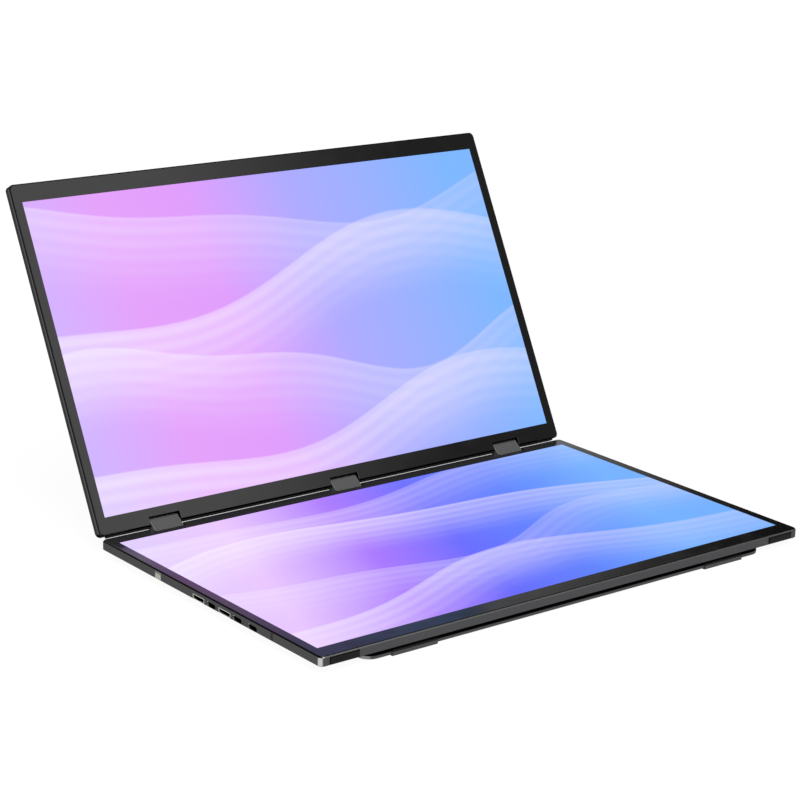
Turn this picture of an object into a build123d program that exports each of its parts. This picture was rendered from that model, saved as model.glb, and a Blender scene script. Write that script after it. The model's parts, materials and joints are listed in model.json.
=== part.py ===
"""Stacked dual-screen monitor: two glass-fronted screens on three double-shaft hinges, with a folding stand.

Each screen is modelled in its own hinge frame: x across, y away from the hinge axis, z out of the glass.
"""

import os
from math import cos, radians, sin

from build123d import *

# Screens, in millimetres
screen_width = 344.2  # lit area, 15.6 inch diagonal
screen_height = 193.6
screen_shift = 0.6  # lit area left of the middle
side_bezel = 6.7
hinge_bezel = 10.7  # lit area to the edge at the hinge
far_bezel = 11.5  # lit area to the edge away from the hinge
edge_overhang = 2.2  # screen edge beyond its hinge axis
corner_radius = 3.2
axis_depth = 4.0  # glass face to the hinge axis
panel_thickness = 7.6
wall_height = 5.7  # glass face to the side wall's lower edge

# Glass, display and side frame
glass_thickness = 0.8
glass_inset = 0.7
glass_gap = 0.1  # glass to the frame's lip
glass_edge = 0.2
display_thickness = 1.4
display_border = 1.8
frame_wall = 1.4
ledge_thickness = 1.0
rim_drop = 0.35  # glass face to the top of the frame's lip
rim_chamfer = 0.55
foot_chamfer = 0.3
fit_gap = 0.2

# Back covers
cover_wall = 1.2
cover_inset = 0.3
slope_run = 5.0  # sloped margin on the sides and the far edge
hinge_slope_run = 2.0
slope_wall = 2.3  # wall measured level, at the top of the slope
hinge_slope_wall = 1.0

# Double-shaft hinges
hinge_inset = 45.6  # side edge to the middle of the outer links
link_length = 9.0  # shaft to shaft
link_radius = 3.0
link_width = 20.0
link_chamfer = 0.4
link_rise = 36.5  # degrees, link above the lower screen
lean = 62.2  # degrees, upper screen above the table
notch_gap = 0.75
notch_clearance = 0.25
notch_wall = 0.8
shaft_radius = 0.9
running_gap = 0.05
barrel_radius = 1.6
barrel_length = 10.0
barrel_gap = 0.15
leaf_reach = 15.0
leaf_thickness = 1.0
nut_width = 2.4
nut_length = 1.6

# Screws
screw_radius = 0.7
screw_head_radius = 1.4
screw_head_height = 0.6
screw_length = 1.8
boss_radius = 1.9
thread_gap = 0.05
bracket_screw_across = 17.0
bracket_screw_back = 11.0

# Feet and bumpers
foot_height = 2.8  # table to back cover
foot_length = 56.0
foot_width = 8.0
foot_inset = 88.8
foot_back = 7.0
foot_recess = 0.4
bumper_length = 18.8
bumper_height = 3.3
bumper_inset = 15.5
bumper_depth = 0.8
bumper_proud = 0.9
bumper_level = 0.8
bumper_corner = 0.8
bumper_edge = 0.4

# Sockets and marks on the left wall, measured back from the front edge
hdmi_rear = 113.5
hdmi_front = 88.1
hdmi_width = 11.1
hdmi_height = 2.9
hdmi_corner = 0.8
hdmi_shell = 0.25
usb_rear = 101.3
usb_middle = 76.1
usb_front = 61.8
usb_width = 8.3
usb_height = 2.4
usb_shell = 0.25
usb_recess = 0.3  # wall to the shell's mouth
socket_depth = 7.5
socket_back = 0.5
socket_level = -0.05
tongue_length = 4.5
hdmi_tongue_width = 7.2
usb_tongue_width = 6.6
tongue_thickness = 0.65
indicator_place = 70.2
indicator_radius = 0.5
light_inlay_place = 154.6
light_inlay_width = 5.9
dark_inlay_place = 43.7
dark_inlay_width = 2.0
inlay_depth = 0.6

# Boards, cables and speakers
board_thickness = 0.6
board_inset = 6.0
main_board_width = 62.0
main_board_rear = 125.2  # from the front edge
main_board_front = 47.2
main_board_gap = 9.2  # to the stand's hinge pocket
driver_board_width = 90.0
driver_board_start = 20.0
driver_board_end = 44.0
board_screw_inset = 4.0
chip_height = 1.1
chip_size = 13.0
chip_pitch = 21.0
cable_width = 12.0
cable_thickness = 0.2
cable_end = 17.0
speaker_length = 34.0
speaker_width = 14.0
speaker_height = 2.1
speaker_inset = 15.8
speaker_setback = 28.2
slot_length = 10.0
slot_width = 1.2
slot_pitch = 3.6
slot_count = 7

# Push buttons on the right wall
button_names = ("power_button", "plus_button", "minus_button")
button_place = 93.2  # rearmost button, from the front edge
button_pitch = 13.0
button_length = 8.0
button_height = 2.0
button_proud = 0.3
button_gap = 0.2
button_lip = 0.5
button_flange = 0.6
button_travel = 0.5
switch_depth = 5.0
switch_width = 4.0
button_board_depth = 10.0

# Stand
stand_inset = 29.8
stand_setback = 0.75
stand_thickness = 1.8
stand_gap = 0.3
stand_corner = 8.0
stand_rear_corner = 3.0
stand_axis_place = 103.9
stand_edge = 0.3
knuckle_radius = 2.0
knuckle_length = 16.0
pin_radius = 1.0
ear_thickness = 1.6
ear_gap = 0.2
pocket_gap = 0.4
pocket_roof = 0.8
bracket_leaf = 6.5
pad_length = 31.0
pad_inset = 33.0
pad_front = 0.5
pad_lip = 0.6
pad_top_reach = 2.2
pad_bottom_reach = 7.0
pad_edge = 0.2

# Levels along a screen's normal, from its hinge axis
panel_reach = hinge_bezel + screen_height + far_bezel - edge_overhang
rim_top = axis_depth - rim_drop
glass_seat = axis_depth - glass_thickness
display_back = glass_seat - display_thickness
wall_bottom = axis_depth - wall_height
cover_back = axis_depth - panel_thickness
cover_floor = cover_back + cover_wall
leaf_bottom = -barrel_radius
table_level = cover_back - foot_height
board_top = socket_level - max(hdmi_height / 2, usb_height / 2 + usb_shell)
board_bottom = board_top - board_thickness
stand_top = cover_back - stand_gap
stand_bottom = stand_top - stand_thickness
stand_axis_level = stand_bottom + knuckle_radius
pocket_ceiling = stand_axis_level + knuckle_radius + pocket_gap

# Sizes that follow from the ones above
panel_width = screen_width + 2 * side_bezel
hinge_spacing = panel_width / 2 - hinge_inset
hinge_places = {"left": -hinge_spacing, "middle": 0.0, "right": hinge_spacing}
hdmi_places = (-hdmi_rear, -hdmi_front)
usb_places = (-usb_rear, -usb_middle, -usb_front)
main_board_start = panel_reach - main_board_rear
main_board_end = panel_reach - main_board_front
foot_across = panel_width / 2 - foot_inset
bumper_across = panel_width / 2 - bumper_inset
speaker_across = panel_width / 2 - speaker_inset
speaker_place = panel_reach - speaker_setback
stand_width = panel_width - 2 * stand_inset
pad_across = stand_width / 2 - pad_inset
notch_width = link_width + 2 * notch_gap
notch_reach = link_radius + notch_clearance
barrel_start = notch_width / 2 + notch_wall + fit_gap
barrel_end = barrel_start + barrel_length
shaft_half = barrel_end + running_gap + nut_length
channel_radius = barrel_radius + barrel_gap
stand_reach = panel_reach - stand_setback
ear_start = knuckle_length / 2 + ear_gap
ear_end = ear_start + ear_thickness
pocket_half = ear_end + pocket_gap
main_board_inner = panel_width / 2 - board_inset - main_board_width
stand_hinge_across = main_board_inner - main_board_gap - pocket_half - pocket_roof
side_places = {"left": -1, "right": 1}
lit_start = hinge_bezel - edge_overhang

# Where the two hinge axes lie: the part stands on z = 0 with its bounding box centred on the origin
rise = radians(link_rise)
tilt = radians(lean)
lid_back = link_length * cos(rise) + (panel_reach - foot_chamfer) * cos(tilt) - wall_bottom * sin(tilt)
hinge_y = (panel_reach + bumper_proud - lid_back) / 2
hinge_z = -table_level
lower = Plane(origin=(0, hinge_y, hinge_z), x_dir=(-1, 0, 0), z_dir=(0, 0, 1))
upper_y = hinge_y + link_length * cos(rise)
upper_z = hinge_z + link_length * sin(rise)
upper = Plane(origin=(0, upper_y, upper_z), x_dir=(1, 0, 0), z_dir=(0, -sin(tilt), cos(tilt)))
link_middle = ((hinge_y + upper_y) / 2, (hinge_z + upper_z) / 2)
link_plane = Plane(origin=(0, *link_middle), x_dir=(0, cos(rise), sin(rise)), z_dir=(1, 0, 0))

# Walls of the lower screen, seen from outside; the side walls start at the front edge
front_y = hinge_y - panel_reach
left_wall = Plane(origin=(-panel_width / 2, front_y, hinge_z), x_dir=(0, -1, 0), z_dir=(-1, 0, 0))
right_wall = Plane(origin=(panel_width / 2, front_y, hinge_z), x_dir=(0, 1, 0), z_dir=(1, 0, 0))
front_wall = Plane(origin=(0, front_y, hinge_z), x_dir=(1, 0, 0), z_dir=(0, -1, 0))


def across(panel, place):
    """Place along world X as a distance along a screen's own x."""
    return place * panel.x_dir.X


def section(panel):
    """Plane square to a screen's hinge axis: x away from the hinge, y out of the glass."""
    return Plane(origin=panel.origin, x_dir=panel.y_dir, z_dir=panel.x_dir)


def keep(part, name):
    """Name a finished piece and write it to its own file."""
    part.label = name
    export_step(part, f"parts/{name}.step")


def plan(side, far, near, corner):
    """Draw a screen's rounded outline, set in from its side, far and hinge edges."""
    width = panel_width - 2 * side
    depth = panel_reach + edge_overhang - far - near
    with Locations((0, (panel_reach - far - edge_overhang + near) / 2)):
        RectangleRounded(width, depth, corner)


def display_plan(panel, gap):
    """Draw the display panel's outline round the lit area, widened by a gap."""
    border = 2 * (display_border + gap)
    with Locations((across(panel, -screen_shift), lit_start + screen_height / 2)):
        Rectangle(screen_width + border, screen_height + border)


def notches(start, wall):
    """Draw the three link notches from a start line to their end, widened by a wall."""
    depth = notch_reach + wall - start
    with Locations(*[(place, start + depth / 2) for place in hinge_places.values()]):
        Rectangle(notch_width + 2 * wall, depth)


def bracket_screw_places():
    """Screw places of all three hinge brackets of one screen."""
    return [
        (place + side * bracket_screw_across, bracket_screw_back)
        for place in hinge_places.values()
        for side in side_places.values()
    ]


def board_screw_places(middle, width, start, end):
    """Screw places in the four corners of a board."""
    return [
        (middle + side * (width / 2 - board_screw_inset), back)
        for side in side_places.values()
        for back in (start + board_screw_inset, end - board_screw_inset)
    ]


main_board_middle = across(lower, -panel_width / 2 + board_inset + main_board_width / 2)
main_screws = board_screw_places(main_board_middle, main_board_width, main_board_start, main_board_end)
driver_screws = board_screw_places(0, driver_board_width, driver_board_start, driver_board_end)


def side_frame(panel):
    """Metal side frame: outer wall with a lip, ledge that carries the glass, walls around each link."""
    with BuildPart() as frame:
        with BuildSketch(panel.offset(wall_bottom)):
            plan(0, 0, 0, corner_radius)
        extrude(amount=rim_top - wall_bottom)
        normal = Axis(panel.origin, panel.z_dir)
        chamfer(frame.faces().sort_by(normal)[-1].edges(), rim_chamfer)
        chamfer(frame.faces().sort_by(normal)[0].edges(), foot_chamfer)
        lip = glass_inset - glass_gap
        with BuildSketch(panel.offset(glass_seat)):
            plan(lip, lip, lip, corner_radius - lip)
        extrude(amount=rim_top - glass_seat, mode=Mode.SUBTRACT)
        with BuildSketch(panel.offset(wall_bottom)):
            plan(frame_wall, frame_wall, frame_wall, corner_radius - frame_wall)
        extrude(amount=glass_seat - ledge_thickness - wall_bottom, mode=Mode.SUBTRACT)
        with BuildSketch(panel.offset(wall_bottom)):
            display_plan(panel, fit_gap)
        extrude(amount=glass_seat - wall_bottom, mode=Mode.SUBTRACT)
        with BuildSketch(panel.offset(wall_bottom)):
            notches(-edge_overhang + foot_chamfer, notch_wall)
        extrude(amount=glass_seat - wall_bottom)
        with BuildSketch(panel.offset(wall_bottom)):
            notches(-2 * edge_overhang, 0)
        extrude(amount=rim_top - wall_bottom, mode=Mode.SUBTRACT)
        for place in hinge_places.values():
            with BuildSketch(section(panel).offset(place)):
                Circle(channel_radius)
            extrude(amount=shaft_half + fit_gap, both=True, mode=Mode.SUBTRACT)
    return frame.part


def cover_glass(panel):
    """Cover glass over the whole front, cut away around each link."""
    with BuildPart() as glass:
        with BuildSketch(panel.offset(glass_seat)):
            plan(glass_inset, glass_inset, glass_inset, corner_radius - glass_inset)
        extrude(amount=glass_thickness)
        with BuildSketch(panel.offset(glass_seat)):
            notches(-2 * edge_overhang, 0)
        extrude(amount=glass_thickness, mode=Mode.SUBTRACT)
        normal = Axis(panel.origin, panel.z_dir)
        chamfer(glass.faces().sort_by(normal)[-1].edges(), glass_edge)
    return glass.part


def display(panel):
    """Display panel behind the glass."""
    with BuildPart() as module:
        with BuildSketch(panel.offset(display_back)):
            display_plan(panel, 0)
        extrude(amount=display_thickness)
    return module.part


def back_cover(panel, board_screws):
    """Back cover: a shallow tray with sloped margins, and bosses for the hinge brackets and the board."""
    with BuildPart() as cover:
        with BuildSketch(panel.offset(wall_bottom)):
            plan(cover_inset, cover_inset, cover_inset, corner_radius)
        with BuildSketch(panel.offset(cover_back)):
            plan(slope_run, slope_run, hinge_slope_run, corner_radius)
        loft(ruled=True)
        rim = cover_inset + slope_wall
        with BuildSketch(panel.offset(wall_bottom)):
            plan(rim, rim, cover_inset + hinge_slope_wall, corner_radius)
        rise_run = (slope_run - cover_inset) * (wall_bottom - cover_floor) / (wall_bottom - cover_back)
        hinge_run = (hinge_slope_run - cover_inset) * (wall_bottom - cover_floor) / (wall_bottom - cover_back)
        with BuildSketch(panel.offset(cover_floor)):
            plan(rim + rise_run, rim + rise_run, cover_inset + hinge_slope_wall + hinge_run, corner_radius)
        loft(ruled=True, mode=Mode.SUBTRACT)
        with BuildSketch(panel.offset(cover_floor)):
            with Locations(*bracket_screw_places()):
                Circle(boss_radius)
        extrude(amount=leaf_bottom - cover_floor)
        with BuildSketch(panel.offset(cover_floor)):
            with Locations(*board_screws):
                Circle(boss_radius)
        extrude(amount=board_bottom - cover_floor)
        with BuildSketch(panel.offset(leaf_bottom)):
            with Locations(*bracket_screw_places()):
                Circle(screw_radius + thread_gap)
        extrude(amount=leaf_thickness - screw_length - thread_gap, mode=Mode.SUBTRACT)
        with BuildSketch(panel.offset(board_bottom)):
            with Locations(*board_screws):
                Circle(screw_radius + thread_gap)
        extrude(amount=board_thickness - screw_length - thread_gap, mode=Mode.SUBTRACT)
        with BuildSketch(panel.offset(cover_back)):
            notches(-2 * edge_overhang, 0)
        extrude(amount=wall_bottom - cover_back, mode=Mode.SUBTRACT)
        for place in hinge_places.values():
            with BuildSketch(section(panel).offset(place)):
                Circle(channel_radius)
            extrude(amount=shaft_half + fit_gap, both=True, mode=Mode.SUBTRACT)
    return cover.part


def hinge_bracket(panel, place):
    """Hinge bracket: two barrels beside the link, joined by a leaf that reaches round the notch."""
    middle = across(panel, place)
    with BuildPart() as bracket:
        with BuildSketch(panel.offset(leaf_bottom)):
            with Locations((middle, leaf_reach / 2)):
                Rectangle(2 * barrel_end, leaf_reach)
            inner_reach = notch_reach + notch_wall + fit_gap
            with Locations((middle, inner_reach / 2)):
                Rectangle(2 * barrel_start, inner_reach, mode=Mode.SUBTRACT)
            with Locations(*[(middle + side * bracket_screw_across, bracket_screw_back) for side in (-1, 1)]):
                Circle(screw_radius + fit_gap, mode=Mode.SUBTRACT)
        extrude(amount=leaf_thickness)
        for side in side_places.values():
            with BuildSketch(section(panel).offset(middle + side * barrel_start)):
                Circle(barrel_radius)
            extrude(amount=side * barrel_length)
        with BuildSketch(section(panel).offset(middle)):
            Circle(shaft_radius + running_gap)
        extrude(amount=barrel_end, both=True, mode=Mode.SUBTRACT)
    return bracket.part


def screws(panel, level, places, way):
    """Pan-head screws that clamp a plate's face at a level, heads up (1) or down (-1)."""
    with BuildPart() as group:
        with BuildSketch(panel.offset(level)):
            with Locations(*places):
                Circle(screw_head_radius)
        extrude(amount=way * screw_head_height)
        with BuildSketch(panel.offset(level)):
            with Locations(*places):
                Circle(screw_radius)
        extrude(amount=-way * screw_length)
    return group.part


def hinge_link(place):
    """Hinge link: a stadium-shaped block pressed onto the two shafts."""
    with BuildPart() as link:
        with BuildSketch(link_plane.offset(place)):
            SlotCenterToCenter(link_length, 2 * link_radius)
        extrude(amount=link_width / 2, both=True)
        ends = link.faces().filter_by(Axis.X)
        chamfer(ends.edges(), link_chamfer)
        with BuildSketch(link_plane.offset(place)):
            with Locations((-link_length / 2, 0), (link_length / 2, 0)):
                Circle(shaft_radius)
        extrude(amount=link_width / 2, both=True, mode=Mode.SUBTRACT)
    return link.part


def hinge_shaft(panel, place):
    """Hinge shaft: runs from nut to nut through the link and the bracket's barrels."""
    with BuildPart() as shaft:
        with BuildSketch(section(panel).offset(across(panel, place))):
            Circle(shaft_radius)
        extrude(amount=shaft_half, both=True)
    return shaft.part


def shaft_nuts(panel):
    """Friction nuts on both ends of the three shafts of one screen."""
    with BuildPart() as nuts:
        for place in hinge_places.values():
            for side in side_places.values():
                with BuildSketch(section(panel).offset(place + side * (barrel_end + running_gap))):
                    RegularPolygon(nut_width / 2, 6, major_radius=False)
                    Circle(shaft_radius, mode=Mode.SUBTRACT)
                extrude(amount=side * nut_length)
    return nuts.part


def board(panel, middle, width, start, end, screw_places):
    """Circuit board with screw holes in its corners."""
    with BuildPart() as plate:
        with BuildSketch(panel.offset(board_bottom)):
            with Locations((middle, (start + end) / 2)):
                RectangleRounded(width, end - start, board_screw_inset / 4)
            with Locations(*screw_places):
                Circle(screw_radius + fit_gap, mode=Mode.SUBTRACT)
        extrude(amount=board_thickness)
    return plate.part


def chips(panel, middle, back):
    """Packaged chips soldered on a board."""
    with BuildPart() as group:
        with BuildSketch(panel.offset(board_top)):
            with Locations(*[(middle + side * chip_pitch / 2, back) for side in side_places.values()]):
                Rectangle(chip_size, chip_size)
        extrude(amount=chip_height)
    return group.part


# Both screens: frame, glass, display, cover, hinge brackets, shafts and their fasteners
os.makedirs("parts", exist_ok=True)

upper_frame = side_frame(upper)
upper_back_cover = back_cover(upper, driver_screws)
keep(upper_frame, "upper_frame")
keep(upper_back_cover, "upper_back_cover")
for screen, panel in {"lower": lower, "upper": upper}.items():
    keep(display(panel), f"{screen}_display")
    keep(cover_glass(panel), f"{screen}_glass")
    for name, place in hinge_places.items():
        keep(hinge_bracket(panel, place), f"{screen}_bracket_{name}")
        keep(hinge_shaft(panel, place), f"{screen}_shaft_{name}")
for name, place in hinge_places.items():
    keep(hinge_link(place), f"hinge_link_{name}")

with BuildPart() as all_nuts:
    add(shaft_nuts(lower))
    add(shaft_nuts(upper))
keep(all_nuts.part, "shaft_nuts")

with BuildPart() as upper_screws:
    add(screws(upper, leaf_bottom + leaf_thickness, bracket_screw_places(), 1))
    add(screws(upper, board_top, driver_screws, 1))
keep(upper_screws.part, "upper_screws")

# Lower side frame: socket cut-outs, inlays, bumper recesses and button holes
bumper_places = [(side * bumper_across, bumper_level) for side in side_places.values()]
button_places = [button_place - step * button_pitch for step in range(len(button_names))]
inlay_height = rim_top - rim_chamfer - wall_bottom - foot_chamfer
inlay_level = (rim_top - rim_chamfer + wall_bottom + foot_chamfer) / 2
usb_outer = usb_width + 2 * usb_shell
usb_outer_height = usb_height + 2 * usb_shell

with BuildPart() as lower_frame:
    add(side_frame(lower))
    with BuildSketch(left_wall) as hdmi_holes:
        with Locations(*[(place, socket_level) for place in hdmi_places]):
            Rectangle(hdmi_width + 2 * running_gap, hdmi_height + 2 * running_gap)
        chamfer(hdmi_holes.vertices().group_by(Axis.Y)[0], hdmi_corner)
    extrude(amount=-2 * frame_wall, mode=Mode.SUBTRACT)
    with BuildSketch(left_wall):
        with Locations(*[(place, socket_level) for place in usb_places]):
            SlotOverall(usb_outer + 2 * running_gap, usb_outer_height + 2 * running_gap)
        with Locations((-indicator_place, socket_level)):
            Circle(indicator_radius)
    extrude(amount=-2 * frame_wall, mode=Mode.SUBTRACT)
    with BuildSketch(left_wall):
        with Locations((-light_inlay_place, inlay_level)):
            Rectangle(light_inlay_width, inlay_height)
        with Locations((-dark_inlay_place, inlay_level)):
            Rectangle(dark_inlay_width, inlay_height)
    extrude(amount=-inlay_depth, mode=Mode.SUBTRACT)
    with BuildSketch(front_wall):
        with Locations(*bumper_places):
            RectangleRounded(bumper_length, bumper_height, bumper_corner)
    extrude(amount=-bumper_depth, mode=Mode.SUBTRACT)
    with BuildSketch(right_wall):
        with Locations(*[(place, socket_level) for place in button_places]):
            SlotOverall(button_length + 2 * button_gap, button_height + 2 * button_gap)
    extrude(amount=-2 * frame_wall, mode=Mode.SUBTRACT)
keep(lower_frame.part, "lower_frame")

with BuildPart() as light_inlay:
    with BuildSketch(left_wall.offset(-inlay_depth)):
        with Locations((-light_inlay_place, inlay_level)):
            Rectangle(light_inlay_width, inlay_height)
    extrude(amount=inlay_depth)
keep(light_inlay.part, "side_inlay_light")

with BuildPart() as dark_inlay:
    with BuildSketch(left_wall.offset(-inlay_depth)):
        with Locations((-dark_inlay_place, inlay_level)):
            Rectangle(dark_inlay_width, inlay_height)
    extrude(amount=inlay_depth - running_gap)
keep(dark_inlay.part, "side_inlay_dark")

with BuildPart() as indicator:
    with BuildSketch(left_wall.offset(-2 * frame_wall)):
        with Locations((-indicator_place, socket_level)):
            Circle(indicator_radius - running_gap)
    extrude(amount=2 * frame_wall - fit_gap)
keep(indicator.part, "indicator_pipe")

for name, side in side_places.items():
    with BuildPart() as bumper:
        with BuildSketch(front_wall.offset(-bumper_depth)):
            with Locations((side * bumper_across, bumper_level)):
                RectangleRounded(
                    bumper_length - 2 * running_gap,
                    bumper_height - 2 * running_gap,
                    bumper_corner,
                )
        extrude(amount=bumper_depth + bumper_proud)
        chamfer(bumper.faces().sort_by(Axis.Y)[0].edges(), bumper_edge)
    keep(bumper.part, f"front_bumper_{name}")

# Sockets on the left wall, each a shell with a tongue
for number, place in enumerate(hdmi_places, 1):
    with BuildPart() as hdmi:
        with BuildSketch(left_wall) as hdmi_outer:
            with Locations((place, socket_level)):
                Rectangle(hdmi_width, hdmi_height)
            chamfer(hdmi_outer.vertices().group_by(Axis.Y)[0], hdmi_corner)
        extrude(amount=-socket_depth)
        with BuildSketch(left_wall) as hdmi_inner:
            with Locations((place, socket_level)):
                Rectangle(hdmi_width - 2 * hdmi_shell, hdmi_height - 2 * hdmi_shell)
            chamfer(hdmi_inner.vertices().group_by(Axis.Y)[0], hdmi_corner - hdmi_shell / 2)
        extrude(amount=-socket_depth + socket_back, mode=Mode.SUBTRACT)
    keep(hdmi.part, f"mini_hdmi_socket_{number}")

usb_mouth = left_wall.offset(-usb_recess)
for number, place in enumerate(usb_places, 1):
    with BuildPart() as usb:
        with BuildSketch(usb_mouth):
            with Locations((place, socket_level)):
                SlotOverall(usb_outer, usb_outer_height)
        extrude(amount=-socket_depth)
        with BuildSketch(usb_mouth):
            with Locations((place, socket_level)):
                SlotOverall(usb_width, usb_height)
        extrude(amount=-socket_depth + socket_back, mode=Mode.SUBTRACT)
    keep(usb.part, f"usb_c_socket_{number}")

with BuildPart() as tongues:
    with BuildSketch(left_wall.offset(-socket_depth + socket_back)):
        with Locations(*[(place, socket_level) for place in hdmi_places]):
            Rectangle(hdmi_tongue_width, tongue_thickness)
    extrude(amount=tongue_length)
    with BuildSketch(usb_mouth.offset(-socket_depth + socket_back)):
        with Locations(*[(place, socket_level) for place in usb_places]):
            Rectangle(usb_tongue_width, tongue_thickness)
    extrude(amount=tongue_length)
keep(tongues.part, "socket_tongues")

# Boards and flat cables
main_board = board(lower, main_board_middle, main_board_width, main_board_start, main_board_end, main_screws)
keep(main_board, "main_board")
driver_board = board(upper, 0, driver_board_width, driver_board_start, driver_board_end, driver_screws)
keep(driver_board, "driver_board")
keep(chips(lower, main_board_middle, (main_board_start + main_board_end) / 2), "main_board_chips")
keep(chips(upper, 0, (driver_board_start + driver_board_end) / 2), "driver_board_chips")

cable_start = main_board_middle - main_board_width / 2 + cable_width
cable_back = main_board_end - cable_width
with BuildPart() as lower_cable:
    with BuildSketch(lower.offset(cover_floor)):
        with Locations((0, (cable_end + cable_back) / 2)):
            Rectangle(cable_width, cable_back - cable_end)
        with Locations((cable_start / 2, cable_back - cable_width / 2)):
            Rectangle(cable_start, cable_width)
    extrude(amount=cable_thickness)
keep(lower_cable.part, "lower_flat_cable")

with BuildPart() as upper_cable:
    with BuildSketch(upper.offset(cover_floor)):
        with Locations((0, (cable_end + driver_board_end) / 2)):
            Rectangle(cable_width, driver_board_end - cable_end)
    extrude(amount=cable_thickness)
keep(upper_cable.part, "upper_flat_cable")

# Speakers on the lower cover's floor
for name, side in side_places.items():
    with BuildPart() as speaker:
        with BuildSketch(lower.offset(cover_floor)):
            with Locations((across(lower, side * speaker_across), speaker_place)):
                RectangleRounded(speaker_width, speaker_length, corner_radius)
        extrude(amount=speaker_height)
    keep(speaker.part, f"speaker_{name}")

# Push buttons, their switches and the board under them
for name, place in zip(button_names, button_places):
    with BuildPart() as button:
        with BuildSketch(right_wall.offset(button_proud)):
            with Locations((place, socket_level)):
                SlotOverall(button_length, button_height)
        extrude(amount=-button_proud - frame_wall - running_gap)
        with BuildSketch(right_wall.offset(-frame_wall - running_gap)):
            with Locations((place, socket_level)):
                SlotOverall(button_length + 2 * button_lip, button_height + 2 * button_lip)
        extrude(amount=-button_flange)
    keep(button.part, name)

switch_start = frame_wall + 2 * running_gap + button_flange + button_travel
switch_top = socket_level + button_height / 2
button_middle = (button_places[0] + button_places[-1]) / 2
with BuildPart() as switches:
    with BuildSketch(right_wall.offset(-switch_start)):
        with Locations(*[(place, (board_top + switch_top) / 2) for place in button_places]):
            Rectangle(switch_width, switch_top - board_top)
    extrude(amount=-switch_depth)
keep(switches.part, "button_switches")

with BuildPart() as button_board:
    with BuildSketch(right_wall.offset(-board_inset)):
        with Locations((button_middle, board_top - board_thickness / 2)):
            Rectangle(button_pitch * len(button_names), board_thickness)
    extrude(amount=-button_board_depth)
keep(button_board.part, "button_board")

# Lower back cover: stand hinge pockets, foot recesses and speaker slots
pocket_front = stand_axis_place + knuckle_radius + pocket_gap
pocket_rear = stand_axis_place - knuckle_radius - pocket_gap - bracket_leaf - pocket_gap
pocket_middle = (pocket_front + pocket_rear) / 2
stand_hinges = [(side * stand_hinge_across, pocket_middle) for side in side_places.values()]
feet = [(side * foot_across, foot_back) for side in side_places.values()]
slots = [
    (side * speaker_across, speaker_place + (step - (slot_count - 1) / 2) * slot_pitch)
    for side in side_places.values()
    for step in range(slot_count)
]
stand_screw_back = pocket_rear + pocket_gap + bracket_leaf / 2
stand_screws = [
    (side * stand_hinge_across + end * knuckle_length / 4, stand_screw_back)
    for side in side_places.values()
    for end in side_places.values()
]

with BuildPart() as lower_back_cover:
    add(back_cover(lower, main_screws))
    with BuildSketch(lower.offset(cover_floor)):
        with Locations(*stand_hinges):
            Rectangle(2 * (pocket_half + pocket_roof), pocket_front - pocket_rear + 2 * pocket_roof)
    extrude(amount=pocket_ceiling + pocket_roof - cover_floor)
    with BuildSketch(lower.offset(cover_back)):
        with Locations(*stand_hinges):
            Rectangle(2 * pocket_half, pocket_front - pocket_rear)
    extrude(amount=pocket_ceiling - cover_back, mode=Mode.SUBTRACT)
    with BuildSketch(lower.offset(pocket_ceiling)):
        with Locations(*stand_screws):
            Circle(screw_radius + thread_gap)
    extrude(amount=pocket_roof, mode=Mode.SUBTRACT)
    with BuildSketch(lower.offset(cover_back)):
        with Locations(*feet):
            RectangleRounded(foot_length, foot_width, foot_width / 3)
    extrude(amount=foot_recess, mode=Mode.SUBTRACT)
    with BuildSketch(lower.offset(cover_back)):
        with Locations(*slots):
            SlotOverall(slot_length, slot_width)
    extrude(amount=cover_wall, mode=Mode.SUBTRACT)
    with BuildSketch(lower.offset(cover_floor)):
        button_board_middle = panel_width / 2 - board_inset - button_board_depth / 2
        with Locations((across(lower, button_board_middle), panel_reach - button_middle)):
            Circle(boss_radius)
    extrude(amount=board_bottom - cover_floor)
keep(lower_back_cover.part, "lower_back_cover")

for name, side in side_places.items():
    with BuildPart() as foot:
        with BuildSketch(lower.offset(table_level)):
            with Locations((across(lower, side * foot_across), foot_back)):
                RectangleRounded(
                    foot_length - 2 * running_gap,
                    foot_width - 2 * running_gap,
                    foot_width / 3,
                )
        extrude(amount=foot_height + foot_recess)
        chamfer(foot.faces().sort_by(Axis.Z)[0].edges(), foot_recess)
    keep(foot.part, f"rear_foot_{name}")

# Stand: a plate with rolled knuckles, turning on pins in two brackets
stand_axis = section(lower).offset(0)
knuckle_center = (stand_axis_place, stand_axis_level)

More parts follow.
